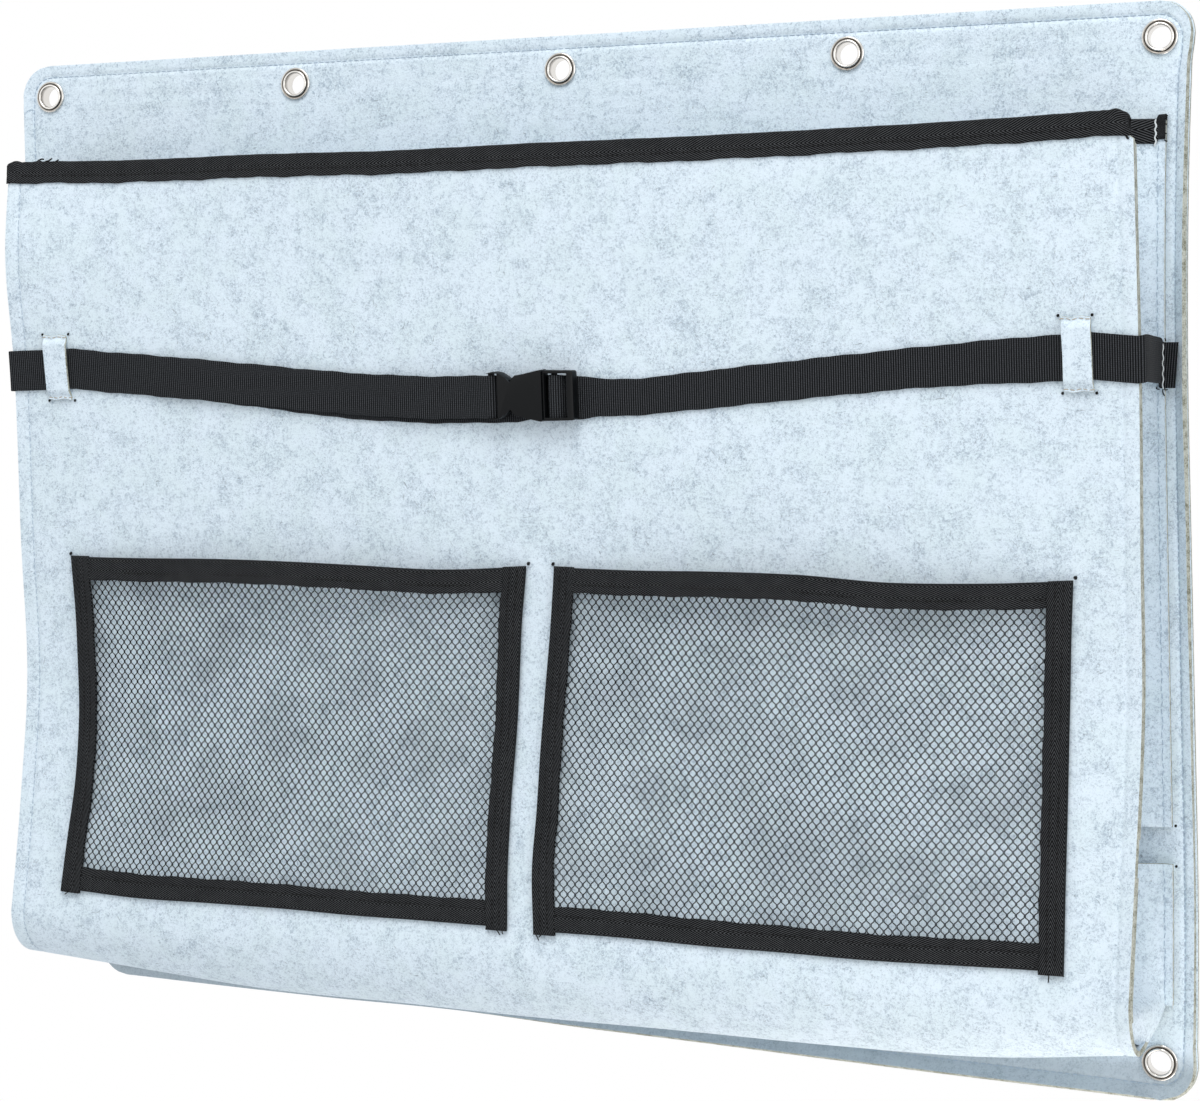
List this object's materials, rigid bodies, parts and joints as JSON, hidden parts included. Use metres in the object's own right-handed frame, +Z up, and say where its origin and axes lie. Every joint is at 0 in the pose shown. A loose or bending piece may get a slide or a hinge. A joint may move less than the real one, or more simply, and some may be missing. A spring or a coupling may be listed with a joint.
{
  "type": "hanging organizer bag",
  "caption": "Wall-hung felt bag: an eyelet-hung back panel, a deep open-topped pouch with folding side gussets, flat mesh pockets and a buckled webbing strap.",
  "frame": {"origin": "centre of the middle eyelet of the top row, on the rear face of the back panel", "axes": "+Z up, -Y out of the front of the bag, +X towards the bag's right side as seen from the front"},
  "size_m": [0.75, 0.1752, 0.6],
  "materials": {
    "felt": "heathered felt, soft and dull",
    "binding_tape": "woven herringbone tape",
    "pocket_tape": "woven tape",
    "net": "knitted net",
    "webbing": "ribbed webbing",
    "buckle_plastic": "moulded, satin",
    "nickel": "nickel plated, polished"
  },
  "bodies": {
    "panel": {"back_panel_rear": "felt", "back_panel_front": "felt", "eyelet_top_1": "nickel", "eyelet_washer_top_1": "nickel", "eyelet_top_2": "nickel", "eyelet_washer_top_2": "nickel", "eyelet_top_3": "nickel", "eyelet_washer_top_3": "nickel", "eyelet_top_4": "nickel", "eyelet_washer_top_4": "nickel", "eyelet_top_5": "nickel", "eyelet_washer_top_5": "nickel", "eyelet_bottom_left": "nickel", "eyelet_washer_bottom_left": "nickel", "eyelet_bottom_right": "nickel", "eyelet_washer_bottom_right": "nickel", "gusset_left_upper": "felt", "gusset_left_lower": "felt", "gusset_left_binding": "binding_tape", "strap_side_left": "webbing", "gusset_right_upper": "felt", "gusset_right_lower": "felt", "gusset_right_binding": "binding_tape", "strap_side_right": "webbing"},
    "front": {"front_sheet": "felt", "front_top_binding": "binding_tape", "pocket_left_net": "net", "pocket_left_tape_top": "pocket_tape", "pocket_left_tape_bottom": "pocket_tape", "pocket_left_tape_left": "pocket_tape", "pocket_left_tape_right": "pocket_tape", "keeper_left": "felt", "pocket_right_net": "net", "pocket_right_tape_top": "pocket_tape", "pocket_right_tape_bottom": "pocket_tape", "pocket_right_tape_left": "pocket_tape", "pocket_right_tape_right": "pocket_tape", "keeper_right": "felt", "strap_left": "webbing", "buckle_socket": "buckle_plastic"},
    "plug": {"buckle_plug": "buckle_plastic", "strap_right": "webbing"},
    "prong_upper": {"buckle_prong_upper": "buckle_plastic"},
    "prong_lower": {"buckle_prong_lower": "buckle_plastic"}
  },
  "joints": [
    {"name": "front_open", "type": "hinge", "parent": "panel", "child": "front", "pos_m": [0, 0.03404, -0.553], "axis": [0.993, -0.1181, 0], "range_deg": [0, 7], "deforming": ["gusset_left_upper", "gusset_left_lower", "gusset_left_binding", "strap_side_left", "gusset_right_upper", "gusset_right_lower", "gusset_right_binding", "strap_side_right"]},
    {"name": "buckle_release", "type": "slide", "parent": "front", "child": "plug", "axis": [0.9991, -0.0421, 0], "range_m": [0, 0.03], "deforming": ["strap_right"]},
    {"name": "prong_upper_press", "type": "hinge", "parent": "plug", "child": "prong_upper", "pos_m": [0.01243, -0.06061, -0.18454], "axis": [-0.0419, -0.9956, -0.0837], "range_deg": [0, 7], "stiffness_Nm_per_rad": 0.01},
    {"name": "prong_lower_press", "type": "hinge", "parent": "plug", "child": "prong_lower", "pos_m": [0.0125, -0.05894, -0.20447], "axis": [0.0419, 0.9956, 0.0837], "range_deg": [0, 7], "stiffness_Nm_per_rad": 0.01}
  ],
  "couplings": [
    {"joint": "prong_lower_press", "follows": "prong_upper_press", "ratio": 1}
  ]
}
